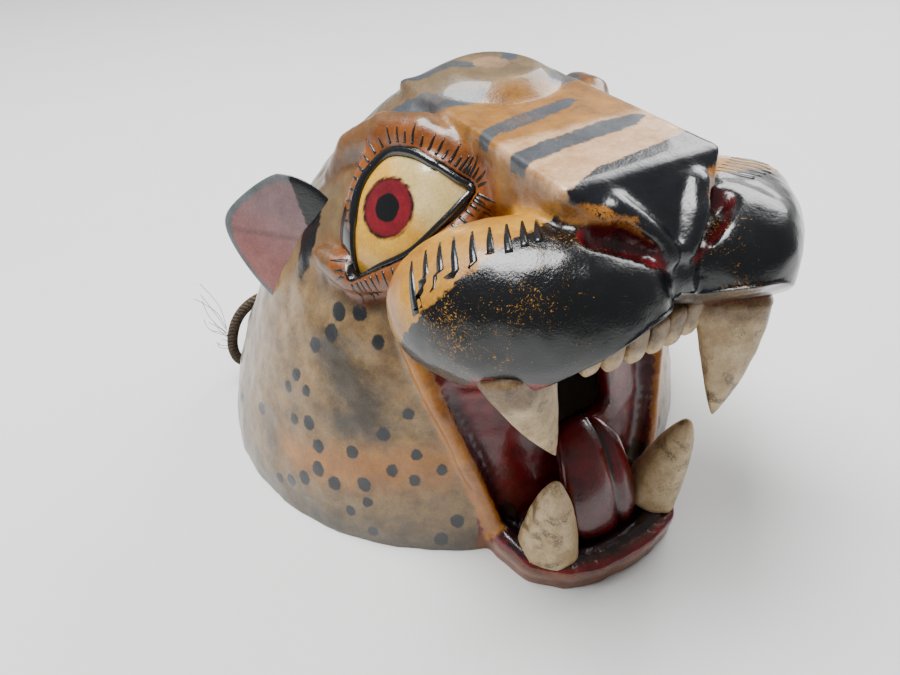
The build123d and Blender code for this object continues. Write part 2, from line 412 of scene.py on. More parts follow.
# Pine under thinned oil colour, then stripes, spots and gloss enamel: matt crown, wet lips and nose.
HEAD_PAINT = PaintedWood(
    "painted_pine_head", light="#75603f", dark="#55432c", coats=(
        Coat("cheek", "#9a7c52", "#664f33", edge=9.0, wobble=4.0),
        # Painted shade: a greyer, darker coat that deepens towards the back of the head.
        Coat("rear_shade", "#675a45", "#4b4336", edge=22.0, wobble=8.0, strength=0.7),
        Coat("brow", "#7c4c1c", "#553214", edge=7.0, wobble=3.0),
        Coat("ochre", "#b5762c", "#94602a", edge=6.0, wobble=3.5, strength=0.9),
        # Painted shade: darker grey-brown near the bottom rim, where the head curves under towards the table.
        Coat("bottom_shade", "#4c4538", "#38332a", edge=11.0, wobble=5.0, strength=0.85),
        Coat("smudge", "#2b2822", "#211d18", edge=6.0, wobble=3.0, strength=0.85),
        Coat("snout", "#a3702a", "#744a18", edge=4.0, wobble=2.0),
        Coat("pale", "#d3ad88", "#bb8f63", edge=3.0, wobble=2.0, worn=0.02),
        Coat("stripe", "#474b50", "#2f3338", edge=0.5, wobble=0.9, worn=0.03, roughness=0.4),
        Coat("spots", "#26272a", "#1a1b1e", edge=0.35, wobble=0.5),
        Coat("ring", "#8f501c", "#65350f", edge=1.6, wobble=1.2),
        Coat("bed", "#c08a2c", "#96621c", edge=0.8, wobble=1.0),
        Coat("lobe", "#0d0f12", "#070809", edge=0.5, wobble=1.2, worn=0.014, roughness=0.2),
        Coat("nose", "#16181d", "#0b0c0f", edge=0.4, wobble=0.6, worn=0.0, roughness=0.24),
        Coat("band", "#b9792a", "#8c5518", edge=0.7, wobble=1.2, worn=0.10),
        Coat("nostril", "#6a1218", "#3c0a0e", edge=0.7, wobble=0.7, roughness=0.25),
        Coat("ear_seat", "#0f1013", "#0a0b0d", edge=0.8, wobble=1.0, roughness=0.18),
        Coat("liner", "#0e1013", "#08090b", edge=0.3, wobble=0.3, roughness=0.18),
        Coat("mouth", "#7e1018", "#4e080d", edge=0.5, wobble=0.7, worn=0.0, roughness=0.22),
        Coat("fold", "#5c2c34", "#3d1a20", edge=2.5, wobble=1.8, roughness=0.22),
        Coat("lip", "#30161d", "#150a0e", edge=1.0, wobble=1.0, worn=0.0, roughness=0.16),
        Coat("jaw", "#8a4c1a", "#5c3014", edge=1.6, wobble=1.2, worn=0.03, roughness=0.3),
        Coat("edge", "#c07c22", "#925517", edge=0.6, wobble=0.9, worn=0.02, roughness=0.3),
        Coat("raw", "#8a6a48", "#60462e", edge=0.6, wobble=0.3, roughness=0.7),
    ))
# Painted ear wood: rose wash dished in, dull grey rim, black at the root.
EAR_PAINT = PaintedWood(
    "painted_pine_ear", light="#8d6f70", dark="#755457", mottle=12.0, coats=(
        Coat("blush", "#9f6c68", "#875653", edge=6.0, wobble=3.0),
        # Painted shade: a darker line down the middle of the ear, for a groove that its shape does not carve.
        Coat("crease_shade", "#5d3f42", "#4c3134", edge=1.2, wobble=0.6, strength=0.6),
        Coat("rim", "#6d7374", "#4f5456", edge=0.7, wobble=0.7, worn=0.03),
        Coat("root", "#121417", "#0c0d0f", edge=0.6, wobble=0.8, roughness=0.18),
        Coat("spot", "#b8742a", "#96581c", edge=0.8, wobble=0.6),
    ))
# Tongue enamel: dark red with a wet gloss, and nearly black painted shade in its carved groove.
TONGUE_PAINT = PaintedWood("red_enamel_tongue", light="#6f0d13", dark="#42070b", roughness=0.2, varnish=0.6,
                           coats=(Coat("crease_shade", "#23070b", "#170406", edge=0.8, wobble=0.4, roughness=0.2),))
# Brush strokes of black enamel that stand a hair above the coat below.
STROKE_PAINT = PaintedWood("black_enamel_strokes", light="#17181b", dark="#0e0f11", roughness=0.25, dent=0.15)
# Eyelid line: a thick bead of gloss black that catches the light.
LID_PAINT = PaintedWood("gloss_black_lid", light="#121418", dark="#0a0b0d", roughness=0.14, varnish=0.7)
# Eye enamel: cream white over yellow, oxblood iris, black pupil, the whole under clear gloss.
EYE_PAINT = PaintedWood(
    "enamel_eye", light="#d3bd86", dark="#bfa463", roughness=0.16, varnish=0.8, dent=0.08, coats=(
        Coat("yolk", "#d8a63a", "#c08a26", edge=4.0, wobble=1.5),
        Coat("iris", "#7a1420", "#4c0b15", edge=0.4, wobble=0.4, roughness=0.16),
        Coat("iris_rim", "#2a070c", "#1d0508", edge=0.5, wobble=0.3, roughness=0.16),
        Coat("pupil", "#08090b", "#050506", edge=0.3, wobble=0.3, roughness=0.14),
        Coat("lid", "#0e1013", "#08090b", edge=0.3, wobble=0.3, roughness=0.18),
    ))
# Whittled tooth wood: bone cream, brown dirt in the tool marks, darker at the gum.
TOOTH_PAINT = PaintedWood(
    "bone_painted_teeth", light="#d6bd92", dark="#af9065", roughness=0.45, mottle=5.0, fleck=0.9, dent=0.5,
    varnish=0.12, coats=(
        Coat("gum", "#7a5a34", "#5b3f24", edge=2.2, wobble=1.6, strength=0.75),
        Coat("dirt", "#6d5230", "#4c3820", edge=1.6, wobble=1.4, worn=0.22, strength=0.8),
    ))


@dataclass(frozen=True)
class TwistedHide:
    """Rawhide lace, rolled and dried: dark, dull and streaked along its twist."""

    name: str = "twisted_rawhide"
    light: str = "#5b472e"
    dark: str = "#231a11"
    turns: float = 34.0

    def build(self) -> bpy.types.Material:
        """Makes the material.

        Returns:
            The material, whose streaks follow the cord's own UV map.
        """
        material, tree = blank(self.name)
        coords = add(tree, "ShaderNodeTexCoord")
        sheared = add(tree, "ShaderNodeMapping", {"Vector": coords.outputs["UV"],
                                                  "Scale": (self.turns, 3.0, 1.0),
                                                  "Rotation": (0.0, 0.0, 0.6)}).outputs[0]
        twist = add(tree, "ShaderNodeTexWave", {"Vector": sheared, "Scale": 1.0, "Distortion": 5.0,
                                                "Detail": 4.0, "Detail Scale": 2.5}).outputs["Fac"]
        fuzz = add(tree, "ShaderNodeTexNoise", {"Vector": coords.outputs["Object"], "Scale": per_mm(0.9),
                                                "Detail": 5.0, "Roughness": 0.7}).outputs["Fac"]
        share = add(tree, "ShaderNodeMath", {0: twist, 1: fuzz}, operation="MULTIPLY").outputs[0]
        tone = add(tree, "ShaderNodeMapRange", {"Value": share, "From Min": 0.1, "From Max": 0.5}).outputs[0]
        colour = add(tree, "ShaderNodeMix", {0: tone, 6: linear(self.dark), 7: linear(self.light)},
                     data_type="RGBA").outputs[2]
        bump = add(tree, "ShaderNodeBump", {"Height": share, "Strength": 0.7,
                                            "Distance": 0.6 * MM}).outputs[0]
        surface = add(tree, "ShaderNodeBsdfPrincipled",
                      {"Base Color": colour, "Roughness": 0.72, "Normal": bump})
        add(tree, "ShaderNodeOutputMaterial", {"Surface": surface.outputs[0]})
        return material


@dataclass(frozen=True)
class PaleCard:
    """Matt white card under the mask, with the faintest tooth."""

    name: str = "pale_card"
    light: str = "#e2e3e2"
    dark: str = "#dcdddc"

    def build(self) -> bpy.types.Material:
        """Makes the material."""
        material, tree = blank(self.name)
        place = add(tree, "ShaderNodeTexCoord").outputs["Object"]
        tooth = add(tree, "ShaderNodeTexNoise", {"Vector": place, "Scale": per_mm(40.0),
                                                 "Detail": 4.0}).outputs["Fac"]
        colour = add(tree, "ShaderNodeMix", {0: tooth, 6: linear(self.dark), 7: linear(self.light)},
                     data_type="RGBA").outputs[2]
        surface = add(tree, "ShaderNodeBsdfPrincipled", {"Base Color": colour, "Roughness": 0.6})
        add(tree, "ShaderNodeOutputMaterial", {"Surface": surface.outputs[0]})
        return material


def dress(piece: bpy.types.Object, material: bpy.types.Material, slot: str, *nodes: str) -> bpy.types.Object:
    """Gives a piece its material and its place in the frame, and hides the CAD nodes that it stands for.

    Args:
        piece: the finished piece.
        material: its finish.
        slot: name of a material slot; not used.
        nodes: CAD nodes that it replaces.

    Returns:
        The piece.
    """
    piece.data.materials.clear()
    piece.data.materials.append(material)
    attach(piece, "root")
    if nodes:
        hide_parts(*nodes)
    LOG.info("%s: %s", piece.name, ", ".join(nodes) or "added detail")
    return piece


# ---------------------------------------------------------------- stage and cord


@dataclass
class Stage:
    """Camera, soft overhead light and pale card."""

    eye: Point = (-117.1, -185.0, 209.0)
    gaze: Point = (0.3858, 0.6682, -0.6361)
    lens: float = 27.04
    card: float = 4000.0
    lamp_size: float = 0.65
    lamp_power: float = 30.0
    sky: float = 0.3

    def camera(self) -> bpy.types.Object:
        """Makes the scene's camera."""
        data = bpy.data.cameras.new("camera")
        data.lens = self.lens
        data.clip_start = 0.01
        piece = bpy.data.objects.new("camera", data)
        piece.location = Vector(self.eye) * MM
        piece.rotation_euler = Vector(self.gaze).to_track_quat("-Z", "Y").to_euler()
        bpy.context.scene.collection.objects.link(piece)
        bpy.context.scene.camera = piece
        return piece

    def lamp(self, name: str, place: Point, power: float, size: float) -> None:
        """Hangs a soft square lamp that faces the mask.

        Args:
            name: the lamp's name.
            place: where it hangs, in millimetres.
            power: its power in watts.
            size: its side in metres.
        """
        data = bpy.data.lights.new(name, "AREA")
        data.energy, data.size = power, size
        piece = bpy.data.objects.new(name, data)
        piece.location = Vector(place) * MM
        piece.rotation_euler = (Vector((0.0, 0.0, 60.0)) - Vector(place)).to_track_quat("-Z", "Y").to_euler()
        bpy.context.scene.collection.objects.link(piece)

    def light(self) -> None:
        """Lays the card and hangs the lights."""
        bm = bmesh.new()
        bmesh.ops.create_grid(bm, x_segments=4, y_segments=4, size=self.card / 2)
        card = finished(bm, "card")
        card.data.materials.append(PaleCard().build())
        self.lamp("ceiling_lamp", (-250.0, 250.0, 1100.0), self.lamp_power, self.lamp_size)
        self.lamp("window_lamp", (900.0, 300.0, 700.0), self.lamp_power * 0.4, 0.7)
        world = bpy.data.worlds.new("soft_room")
        world.use_nodes = True
        ground = world.node_tree.nodes["Background"]
        ground.inputs["Color"].default_value = linear("#eef0f2")
        ground.inputs["Strength"].default_value = self.sky
        bpy.context.scene.world = world


@dataclass
class HeadCord:
    """Rawhide lace that crosses the hollow, its ends knotted outside the wall behind each ear."""

    radius: float = 2.25
    length: float = 244.0
    side: tuple[Point, ...] = ((75, 51.3, 8), (84.5, 56.3, 8.6), (87, 58.8, 14.5), (85, 60, 23.5),
                               (80.5, 59.3, 32.5), (73, 56.5, 39.5), (61, 53, 43), (44, 56, 38), (17, 60, 31))

    def route(self) -> list[Point]:
        """The lace's points from the right knot to the left one, in millimetres."""
        return on(Side.RIGHT, self.side) + on(Side.LEFT, self.side)[::-1]

    def lace(self) -> bpy.types.Object:
        """Makes the lace itself."""
        curve = bpy.data.curves.new("rawhide_lace", "CURVE")
        curve.dimensions = "3D"
        route = self.route()
        spline = curve.splines.new("NURBS")
        spline.points.add(len(route) - 1)
        for point, place in zip(spline.points, route):
            point.co = (*(Vector(place) * MM), 1.0)
        spline.order_u = 3
        spline.use_endpoint_u = True
        spline.resolution_u = 10
        curve.bevel_depth = self.radius * MM
        curve.bevel_resolution = 6
        curve.use_fill_caps = True
        return put("rawhide_lace", curve)

    def knot(self, side: Side) -> bpy.types.Object:
        """Makes the lump that stops one end of the lace, wound with three uneven turns."""
        low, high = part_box(f"cord_knot_{side.word}")
        middle, half = (low + high) / 2 / MM, (high - low) / 2 / MM

        def shape(unit: Vector) -> Vector:
            """Place of a point of the knot."""
            turn = 1.0 + 0.09 * math.sin(3.0 * math.atan2(unit.z, unit.y) + 7.0 * unit.x)
            return middle + Vector((unit.x * half.x, unit.y * half.y, unit.z * half.z)) * 0.94 * turn

        bm = bmesh.new()
        add_globe(bm, shape, rings=20, spokes=28)
        return finished(bm, f"lace_knot_{side.word}")

    def fibres(self) -> bpy.types.Object:
        """Makes the fine stray hairs that stand out of the right bight."""
        curve = bpy.data.curves.new("lace_fibres", "CURVE")
        curve.dimensions = "3D"
        curve.bevel_depth = 0.11 * MM
        curve.bevel_resolution = 1
        root = Vector((-87.0, 59.0, 21.0))
        for number in range(11):
            lift = 5.0 + 2.1 * number
            lean = Vector((-8.0 - 2.5 * math.sin(number * 2.3), 2.0 + 6.0 * math.cos(number * 1.7), lift))
            spline = curve.splines.new("NURBS")
            spline.points.add(3)
            bow = Vector((-3.0 * math.cos(number), 1.5 * math.sin(number * 3.1), 0.0))
            start = root + Vector((0.0, 0.6 * math.sin(number), 1.2 * number - 5.0))
            for point, share in zip(spline.points, (0.0, 0.35, 0.7, 1.0)):
                place = start + lean * share * (0.5 + 0.045 * number) + bow * math.sin(share * math.pi)
                point.co = (*(place * MM), 1.0)
            spline.order_u = 3
            spline.use_endpoint_u = True
        return put("lace_fibres", curve)

    def build(self) -> None:
        hide = TwistedHide().build()
        lace = dress(self.lace(), hide, "cord_hide", "head_cord")
        knots = [dress(self.knot(side), TwistedHide(f"knotted_rawhide_{side.word}").build(), "cord_hide",
                       f"cord_knot_{side.word}") for side in Side]
        fibres = dress(self.fibres(), hide, "cord_hide")
        tuple(Vector(self.route()[0]) * MM)


# ---------------------------------------------------------------- head


@dataclass
class EyeFrame:
    """Where one eye sits: its middle, the way it looks, and its almond outline."""

    side: Side
    middle: Point = (43.5, -26.5, 112.0)
    facing: Point = (0.78, -0.345, 0.52)
    along: Point = (0.625, 0.433, -0.65)
    almond: tuple[tuple[float, float], ...] = ((-23, -6.2), (-21.4, -3), (-18.5, 3), (-13, 11.5),
                                               (-5, 16.8), (5, 13.7),
                                               (12.5, 5), (20.5, -7), (19.5, -9), (12, -10.5), (-0.5, -12.5),
                                               (-14, -10.2), (-21.5, -7.4))
    iris_at: tuple[float, float] = (0.0, 1.5)

    def __post_init__(self) -> None:
        """Works out the eye's own axes."""
        self.centre = Vector(on(self.side, [self.middle])[0])
        self.out = Vector(on(self.side, [self.facing])[0]).normalized()
        raw = Vector(on(self.side, [self.along])[0])
        self.across = (raw - self.out * raw.dot(self.out)).normalized()
        self.up = self.out.cross(self.across).normalized()
        if self.up.z < 0:
            self.up.negate()
        self.loop = rounded_loop(self.almond)

    def flat(self, points: np.ndarray) -> np.ndarray:
        """Places on the eye's own plane, across and up, of points in millimetres."""
        gap = points - np.array(self.centre)
        return np.stack([gap @ np.array(self.across), gap @ np.array(self.up)], axis=1)

    def spread(self, points: np.ndarray) -> np.ndarray:
        """Distance of points to the almond outline, for points near this eye.

        Args:
            points: N by 3 places in millimetres.

        Returns:
            Distance in millimetres, negative in the almond, large away from the eye.
        """
        depth = (points - np.array(self.centre)) @ np.array(self.out)
        near = np.abs(depth) < 17.0
        result = np.full(len(points), 60.0)
        if near.any():
            result[near] = flat_outline(self.flat(points[near]), self.loop)
        return result

    def place(self, across: float, up: float, out: float) -> Vector:
        """Point given in the eye's own axes, in millimetres."""
        return self.centre + self.across * across + self.up * up + self.out * out

    def rim(self, grow: float, out: Callable[[float, float], float]) -> list[Vector]:
        """The almond outline grown outwards, as points in space.

        Args:
            grow: how far it is moved outwards, in millimetres.
            out: height above the eye's plane at a place on it.

        Returns:
            The points, in order.
        """
        ring = []
        ahead, behind = np.roll(self.loop, -1, 0), np.roll(self.loop, 1, 0)
        area = float(np.sum(self.loop[:, 0] * ahead[:, 1] - ahead[:, 0] * self.loop[:, 1]))
        for (u, v), (u1, v1), (u0, v0) in zip(self.loop, ahead, behind):
            normal = Vector((v1 - v0, u0 - u1)).normalized() * math.copysign(1.0, area)
            ring.append(self.place(u + normal.x * grow, v + normal.y * grow, out(u, v)))
        return ring


@dataclass
class Egg:
    """One of the big carved swellings: a ball stretched along an axis."""

    middle: Point
    axis: Point
    half: float
    radius: float
    boxy: float = 1.0

    def basis(self) -> Matrix:
        """The swelling's own axes, its long one first."""
        long = Vector(self.axis).normalized()
        side = long.cross(Vector((0.0, 0.0, 1.0))).normalized()
        return Matrix((long, side, long.cross(side)))

    def add_to(self, bm: bmesh.types.BMesh) -> None:
        """Adds the swelling to a bmesh."""
        turn, middle = self.basis().transposed(), Vector(self.middle)

        def shape(unit: Vector) -> Vector:
            """Place of a point of the swelling."""
            pull = Vector([math.copysign(abs(c) ** self.boxy, c) for c in unit])
            return middle + turn @ Vector((pull.x * self.half, pull.y * self.radius, pull.z * self.radius))

        add_globe(bm, shape, rings=40, spokes=56)

    def gap(self, points: np.ndarray) -> np.ndarray:
        """Distance of points in millimetres to the swelling's skin, roughly, negative inside it."""
        local = (points - np.array(self.middle)) @ np.array(self.basis()).T
        power = 2.0 / self.boxy
        scaled = np.abs(local / np.array([self.half, self.radius, self.radius])) ** power
        return (scaled.sum(axis=1) ** (1.0 / power) - 1.0) * self.radius


@dataclass
class Head:
    """The hollowed head: bell, square snout, lips, eye mounds, brows, jaw and painted coats."""

    half_width: float = 97.6
    half_length: float = 92.0
    rim_middle: float = 12.0
    apex: float = 146.0
    power: float = 1.3
    fullness: float = 1.75
    lean: float = 22.0
    crown: float = 142.6
    wall: float = 10.0
    hollow_top: float = 126.0
    snout_half: float = 24.5
    snout_top: float = 137.6
    voxel: float = 1.3
    roof: float = 103.0
    roof_fall: float = 0.35
    throat: tuple[float, float, float] = (16.5, 37.0, 88.0)
    lobes: tuple[Egg, Egg] = (Egg((-31.0, -73.5, 105.0), (-0.72, 0.67, -0.17), 36.5, 22.3, 0.93),
                              Egg((38.0, -75.0, 105.0), (0.72, 0.67, -0.17), 36.5, 20.6, 0.72))
    mounds: tuple[Egg, Egg] = (Egg((-33.0, -19.0, 106.0), (-0.47, 0.52, -0.71), 28.0, 20.0),
                               Egg((33.0, -19.0, 106.0), (0.47, 0.52, -0.71), 28.0, 20.0))
    lip_line: tuple[Point, ...] = ((30.2, -60, 7), (30.6, -76, 7), (27.5, -87, 7), (20, -94, 7), (10, -97, 7),
                                   (0, -97.4, 7))
    cheek_line: tuple[Point, ...] = ((31.5, -72, 8), (35, -69, 20), (40.5, -61.5, 40), (46, -52, 60),
                                     (50.5, -42, 80))
    bed_plane: tuple[Point, Point] = ((60.0, -67.0, 104.0), (0.171, 0.855, 0.489))
    brow_ridge: tuple[Point, ...] = ((24, -33, 129), (30, -20, 131), (36, -6, 127.5), (42, 6, 119),
                                     (47, 12, 108))
    lid_ridge: tuple[Point, ...] = ((27, -44, 116), (38, -42, 106), (48, -36, 97), (57, -22, 92),
                                    (61, -8, 93))
    nostril_cut: tuple[Point, ...] = ((21, -85, 127), (16, -87.5, 126.5), (10, -91, 123))
    wing_cut: tuple[Point, ...] = ((24.5, -76, 128), (25, -62, 121), (26, -48, 116))
    fold_cut: tuple[Point, ...] = ((27, -36, 122), (31, -40, 110), (44, -41, 97), (56, -30, 87))
    cheek_cut: tuple[Point, ...] = ((33, -70, 18), (38, -62, 32), (45, -50, 58))
    brow_coat: tuple[Point, ...] = ((44, 14, 114), (34, -8, 128), (26, -22, 132), (24, -40, 134))
    band_coat: tuple[Point, ...] = ((27, -76, 131), (20, -81.5, 131.5), (12, -86.5, 129.5), (7, -90.5, 125))
    nostril_coat: tuple[Point, ...] = ((21, -84, 126.5), (16, -87, 126), (9, -91, 122), (6, -93, 119))
    fold_coat: tuple[Point, ...] = ((31, -71, 20), (36, -63, 38), (41, -54, 58))
    spots: tuple[Point, ...] = (
        (56, -35, 75), (58, -27, 82), (63, -21, 80), (66, -21, 73), (71, -17, 67), (78, -13, 54),
        (81, -11, 48),
        (77, -19, 51), (82, -17, 38), (79, -23, 40), (78, -28, 33), (80, -30, 24), (62, -46, 46),
        (70, -39, 36),
        (54, -49, 54), (54, -54, 40), (48, -60, 35), (56, -56, 30), (62, -51, 33), (70, -45, 25),
        (77, -36, 21),
        (85, -26, 18), (89, -21, 13), (91, -15, 10), (70, -47, 18), (75, -43, 12), (71, -51, 6),
        (46, -67, 14),
        (52, -66, 6), (88, 2, 30), (90, 10, 44), (86, 16, 60), (92, 22, 20), (88, 32, 34), (80, 30, 66),
        (84, 46, 18), (76, 52, 44), (72, 44, 72), (66, 70, 22), (58, 66, 50), (44, 84, 16), (36, 82, 42),
        (50, 56, 76), (20, 90, 30), (24, 78, 62), (6, 94, 14), (8, 88, 48), (84, -4, 62), (70, 20, 88))

    def bell(self, unit: Vector, inset: float, top: float) -> Vector:
        """Place on the bell, or on the hollow in it.

        Args:
            unit: point of the unit ball.
            inset: how far inside the bell's skin it lies.
            top: height at which it is flattened.

        Returns:
            The place in millimetres.
        """
        flat = Vector((unit.x, unit.y))
        flat = flat.normalized() if flat.length > 1e-6 else Vector((0.0, 0.0))
        rise, tall = abs(unit.z), self.apex - inset
        if unit.z < 0:
            height, share = -12.0 * min(1.0, 4.0 * rise), min(1.0, 8.0 * (1.0 - rise))
        else:
            height = min(top, tall * rise ** (2.0 / self.power))
            share = max(0.0, 1.0 - rise * rise) ** (1.0 / self.fullness)
        middle = self.rim_middle - self.lean * (max(height, 0.0) / self.apex) ** 2
        return Vector((flat.x * (self.half_width - inset) * share,
                       middle + flat.y * (self.half_length - inset) * share, height))

    def bell_gap(self, points: np.ndarray, inset: float) -> np.ndarray:
        """Distance of points in millimetres to the bell, roughly, negative inside it."""
        height = np.clip(points[:, 2], 0.0, self.apex - inset - 0.5)
        rest = np.clip(1.0 - (height / (self.apex - inset)) ** self.power, 1e-3, 1.0)
        share = rest ** (1.0 / self.fullness)
        middle = self.rim_middle - self.lean * (height / self.apex) ** 2
        radius = np.hypot(points[:, 0] / (self.half_width - inset),
                          (points[:, 1] - middle) / (self.half_length - inset))
        return (radius - share) * 80.0

    def eyes(self) -> list[EyeFrame]:
        """Both eyes' places."""
        return [EyeFrame(side) for side in Side]

    def swell(self, bm: bmesh.types.BMesh) -> None:
        """Adds every swelling of the head to a bmesh, as overlapping closed forms."""
        add_globe(bm, lambda unit: self.bell(unit, 0.0, self.crown), rings=72, spokes=104)
        wide, top = self.snout_half, self.snout_top
        add_hull(bm, [(x, y, z) for side in (-1, 1) for x, y, z in (
            (side * wide, 8, top), (side * (wide + 0.6), -77.2, top), (side * 15, -87, 127.5),
            (side * 4.5, -95.5, 115), (side * 5, -97, 108), (side * 8, -92, 98), (side * wide, -76, 100),
            (side * wide, -40, 94), (side * wide, 8, 106))])
        for egg in (*self.lobes, *self.mounds):
            egg.add_to(bm)
        for side in Side:
            add_rod(bm, on(side, self.brow_ridge),
                    (4.0, 6.0, 6.2, 5.6, 4.0))
            add_rod(bm, on(side, self.lid_ridge),
                    (4.0, 5.5, 5.5, 5.0, 4.0))
            add_rod(bm, on(side, self.cheek_line), (5.5, 4.8, 4.0, 3.4, 3.0))
            add_rod(bm, on(side, self.lip_line), (6.9,) * 6)
            add_rod(bm, on(side, [(x * 0.99, y, 1.0) for x, y, _ in self.lip_line]), (6.6,) * 6)
            add_rod(bm, on(side, [(13, -82, 131), (8, -88, 127), (3, -92, 121)]), (4.2, 3.6, 3.0))
        add_hull(bm, [(side * x, y, z) for side in (-1, 1) for z in (-4.0, 6.6)
                      for x, y in ((30, -50), (31, -78), (24, -91), (9, -97))])
        for eye in self.eyes():
            ring = eye.rim(3.6, lambda u, v: -1.2 - 0.006 * (u * u + v * v))
            add_rod(bm, [tuple(p) for p in ring[::3]] + [tuple(ring[0])], (3.1,) * (len(ring[::3]) + 1))

    def cutters(self) -> list[bpy.types.Object]:
        """Makes the forms that are hollowed out of the head."""
        made = []
        bm = bmesh.new()

        def gouged(unit: Vector) -> Vector:
            """Place on the hollow's gouged skin."""
            chatter = noise.noise(unit * 9.0) * 1.1 + noise.noise(unit * 21.0) * 0.4
            return self.bell(unit, self.wall + chatter, self.hollow_top)

        add_globe(bm, gouged, rings=72, spokes=104)
        made.append(finished(bm, "hollow_cut"))
        half, low, high = self.throat
        for name, corners in (("throat_cut", (-half, half, -92.0, -30.0, low, high)),
                              ("table_cut", (-150.0, 150.0, -150.0, 150.0, -40.0, 0.0))):
            x0, x1, y0, y1, z0, z1 = corners
            bm = bmesh.new()
            add_hull(bm, [(x, y, z) for x in (x0, x1) for y in (y0, y1) for z in (z0, z1)])
            if name == "throat_cut":
                bmesh.ops.bevel(bm, geom=bm.edges[:], offset=5.0, offset_type="OFFSET", segments=4,
                                profile=0.5,
                                affect="EDGES", material=-1)
            bmesh.ops.recalc_face_normals(bm, faces=bm.faces)
            made.append(finished(bm, name))
        return made

    def gouge(self, mesh: bpy.types.Mesh) -> None:
        """Carves the small relief: nostrils, split lip, mouth scoop, folds and tool marks.

        Args:
            mesh: the united head, whose points are moved.
        """
        points, away = places(mesh) / MM, outward(mesh)
        mouth = self.mouth_gap(points)
        depth = -3.4 * smoothstep(1.0, -7.0, mouth) * smoothstep(-74.0, -66.0, -points[:, 2] - 8.0)
        depth = np.where(points[:, 2] < 10.0, 0.0, depth)
        for side in Side:
            hole = along_line(points, on(side, self.nostril_cut), (2.6, 3.4, 2.6))
            depth -= 5.0 * smoothstep(1.8, -3.0, hole)
            wing = along_line(points, on(side, self.wing_cut), (1.2, 1.2, 1.0))
            depth -= 2.0 * smoothstep(3.0, -1.0, wing)
            fold = along_line(points, on(side, self.fold_cut),
                              (1.0, 1.2, 1.2, 1.0))
            depth -= 1.6 * smoothstep(3.0, -1.0, fold)
            nail = along_line(points, on(side, self.cheek_cut), (2.5, 3.5, 3.0))
            depth -= 1.0 * smoothstep(4.0, -2.0, nail)
        split = along_line(points, [(1.5, -99, 112), (1.5, -99, 98), (1.5, -92, 88)], (1.0, 1.2, 2.0))
        depth -= 3.2 * smoothstep(2.6, -1.0, split)
        roof = self.roof - self.roof_fall * np.abs(points[:, 0]) + np.maximum(-88.0 - points[:, 1], 0.0)
        low = (points[:, 2] < roof) & (points[:, 2] > 66.0) & (points[:, 1] < -66.0)
        points[low, 2] = roof[low] - 0.12 * (roof[low] - points[low, 2])
        almond = np.minimum.reduce([eye.spread(points) for eye in self.eyes()])
        depth -= 7.0 * smoothstep(1.5, -2.0, almond)
        rough = np.array([noise.noise(Vector(p) / 11.0) * 0.55 + noise.noise(Vector(p) / 4.5) * 0.22
                          for p in points])
        crisp = smoothstep(136.5, 134.0, points[:, 2])
        points += away * (depth + rough * (0.35 + 0.65 * crisp))[:, None]
        mesh.vertices.foreach_set("co", (points * MM).ravel())
        mesh.update()

    def mouth_gap(self, points: np.ndarray) -> np.ndarray:
        """Distance of points in millimetres to the mouth's side edges, negative in the mouth."""
        half = 31.0 + 19.0 * np.clip(points[:, 2], 0.0, 90.0) / 84.0
        ahead = points[:, 1] + 26.0
        return np.maximum.reduce([np.abs(points[:, 0]) - half, ahead, points[:, 2] - 97.0])

    def fields(self, mesh: bpy.types.Mesh) -> None:
        """Stores the signed distance of every coat's outline on the head's points.

        Args:
            mesh: the finished head.
        """
        points, away = places(mesh) / MM, outward(mesh)
        x, y, z = points.T
        folded = np.stack([-np.abs(x), y, z], axis=1)

        def line(corners: Sequence[Point], radii: Sequence[float]) -> np.ndarray:
            """Distance to a chain on both sides, its X given as a distance from the middle."""
            return along_line(folded, on(Side.RIGHT, corners), radii)

        def top_outline(corners: Sequence[tuple[float, float]]) -> np.ndarray:
            """Distance to an outline drawn on the snout's flat top."""
            return np.maximum(flat_outline(points[:, :2], np.array(corners, float)), 133.5 - z)

        coats: dict[str, np.ndarray] = {}
        coats["cheek"] = np.maximum(z - 84.0, -(self.bell_gap(points, 0.0) + 6.0))
        # Painted shade, growing towards the back of the head.
        coats["rear_shade"] = 22.0 - y
        coats["brow"] = np.minimum(line(self.brow_coat, (9,) * 4),
                                   line([(27, -44, 112), (48, -36, 96), (60, -10, 92)], (7, 7, 6)))
        coats["ochre"] = line([(88, -18, 26), (76, -36, 28), (65, -48, 33), (49, -60, 35)], (5, 7, 8, 7))
        # Painted shade, darkening towards the bottom rim.
        coats["bottom_shade"] = z - 10.0
        coats["smudge"] = np.minimum(line([(68, -23, 68), (66, -32, 59), (64, -41, 49), (70, -34, 46)],
                                          (7, 8.5, 7.5, 6)), line([(91, -5, 30), (91, -8, 22)], (4.0, 3.0)))
        coats["snout"] = np.maximum.reduce([np.abs(x) - 27.0, y + 22.0, 100.0 - z])
        coats["pale"] = np.maximum.reduce([136.0 - z, y + 50.0, np.abs(x) - 27.0])
        first = top_outline([(-28, -41.5), (-14, -36.5), (0, -33.5), (9, -32), (13, -34), (8, -37.5),
                             (-9, -42),
                             (-28, -46)])
        second = top_outline([(-28, -56.5), (-14, -53.5), (6, -50.5), (20, -51), (22, -53), (15, -57),
                              (-9, -59.5),
                              (-28, -63)])
        plan = folded * (1.0, 1.0, 0.0)
        bands = [along_line(plan, on(Side.RIGHT, [(u, v, 0) for u, v in corners]), radii) for corners,
                 radii in (
            (((44, 18), (33, -1), (23, -16), (13, -21)), (2.0, 4.6, 4.6, 2.0)),
            (((32, 26), (20, 8), (7, -6)), (1.5, 4.2, 2.6)),
            (((50, 36), (38, 40), (22, 34)), (1.2, 3.2, 1.6)),
            (((38, 66), (24, 62), (8, 52)), (1.2, 3.2, 1.6)))]
        coats["stripe"] = np.minimum.reduce([first, second, np.maximum(np.minimum.reduce(bands), 88.0 - z)])
